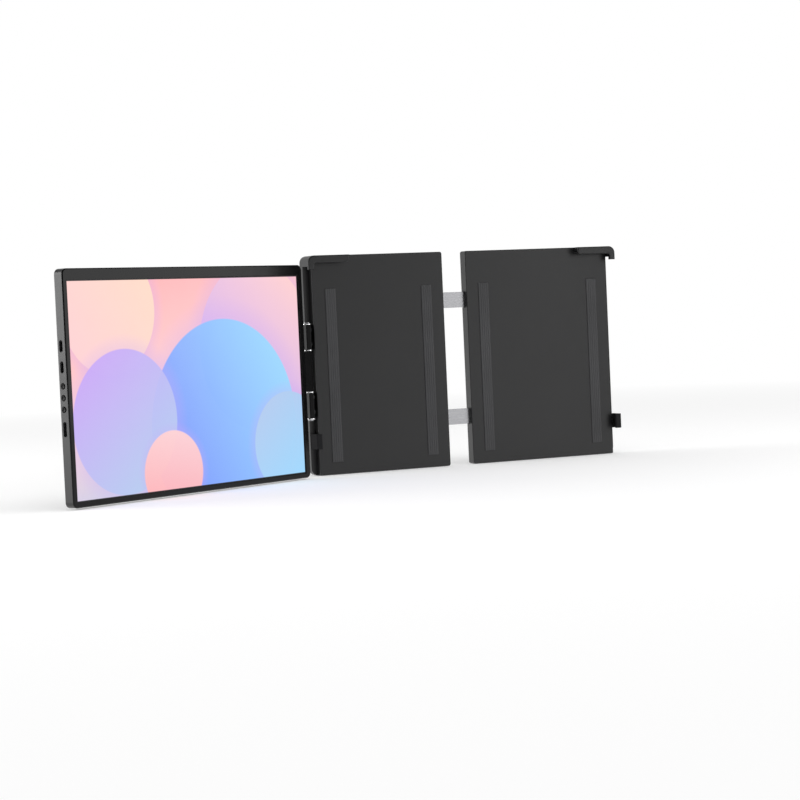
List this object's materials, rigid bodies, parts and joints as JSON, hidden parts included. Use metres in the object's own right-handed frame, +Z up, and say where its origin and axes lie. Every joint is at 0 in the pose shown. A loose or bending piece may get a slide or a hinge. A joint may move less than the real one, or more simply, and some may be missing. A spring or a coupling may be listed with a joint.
{
  "type": "laptop screen extender",
  "caption": "Slim side display on a swinging hinge, carried by a telescoping frame whose hooks and clips grip the back and edges of a laptop lid.",
  "frame": {"origin": "seat corner: where the gripped lid's top left rear corner rests, on the plane of the grip strips, under the hook strip and against the side wall", "axes": "+X to the right along the lid's top edge, +Y away from the viewer through the lid, +Z up"},
  "size_m": [0.5724, 0.1612, 0.1922],
  "materials": {
    "frame_black": "satin black moulded plastic",
    "hinge_black": "satin black painted steel",
    "case_black": "satin black moulded plastic",
    "button_black": "matte black",
    "display_glass": "lit display behind an anti-glare face",
    "grip_rubber": "matte silicone",
    "nylon": "natural nylon",
    "rail_steel": "brushed along its length",
    "bright_ring": "bright plated",
    "black_screw": "black oxide",
    "light_guide": "clear acrylic sheet",
    "tray_metal": "bright sheet",
    "board_green": "solder mask",
    "chip_black": "moulded package",
    "socket_steel": "black nickel plated shell",
    "ribbon": "polyimide film"
  },
  "bodies": {
    "left_frame": {"left_bracket": "frame_black", "left_rear_cover": "frame_black", "left_cover_screws": "black_screw", "left_grip_strips": "grip_rubber", "left_hook_strip": "grip_rubber", "left_side_clip": "frame_black", "left_clip_screw": "black_screw", "guide_shoes": "nylon", "upper_hinge_knuckle": "hinge_black", "lower_hinge_knuckle": "hinge_black", "hinge_rings": "bright_ring", "hinge_screws": "black_screw"},
    "right_frame": {"right_bracket": "frame_black", "right_rear_cover": "frame_black", "right_cover_screws": "black_screw", "right_grip_strips": "grip_rubber", "right_hook_strip": "grip_rubber", "right_side_clip": "frame_black", "right_clip_screw": "black_screw", "upper_slide_rail": "rail_steel", "lower_slide_rail": "rail_steel", "rail_screws": "black_screw"},
    "screen": {"front_bezel": "case_black", "display_panel": "display_glass", "light_guide": "light_guide", "backlight_tray": "tray_metal", "rear_shell": "case_black", "controller_board": "board_green", "board_chips": "chip_black", "board_screws": "black_screw", "panel_ribbon": "ribbon", "upper_usb_c_port": "socket_steel", "lower_usb_c_port": "socket_steel", "mini_hdmi_port": "socket_steel", "tact_switches": "chip_black", "case_screws": "black_screw", "hinge_arm": "hinge_black", "arm_screws": "black_screw", "hinge_pin": "rail_steel"},
    "upper_key": {"upper_button": "button_black"},
    "middle_key": {"middle_button": "button_black"},
    "lower_key": {"lower_button": "button_black"}
  },
  "joints": [
    {"name": "frame_slide", "type": "slide", "parent": "left_frame", "child": "right_frame", "axis": [1, 0, 0], "range_m": [-0.0229, 0.056]},
    {"name": "screen_hinge", "type": "hinge", "parent": "left_frame", "child": "screen", "pos_m": [-0.00772, -0.012, -0.09475], "axis": [0, 0, 1], "range_deg": [-97, 152.7]},
    {"name": "upper_key_press", "type": "slide", "parent": "screen", "child": "upper_key", "axis": [0.8887, 0.4585, 0], "range_m": [0, 0.0005], "stiffness_N_per_m": 2000, "springref_m": -0.0003},
    {"name": "middle_key_press", "type": "slide", "parent": "screen", "child": "middle_key", "axis": [0.8887, 0.4585, 0], "range_m": [0, 0.0005], "stiffness_N_per_m": 2000, "springref_m": -0.0003},
    {"name": "lower_key_press", "type": "slide", "parent": "screen", "child": "lower_key", "axis": [0.8887, 0.4585, 0], "range_m": [0, 0.0005], "stiffness_N_per_m": 2000, "springref_m": -0.0003}
  ]
}
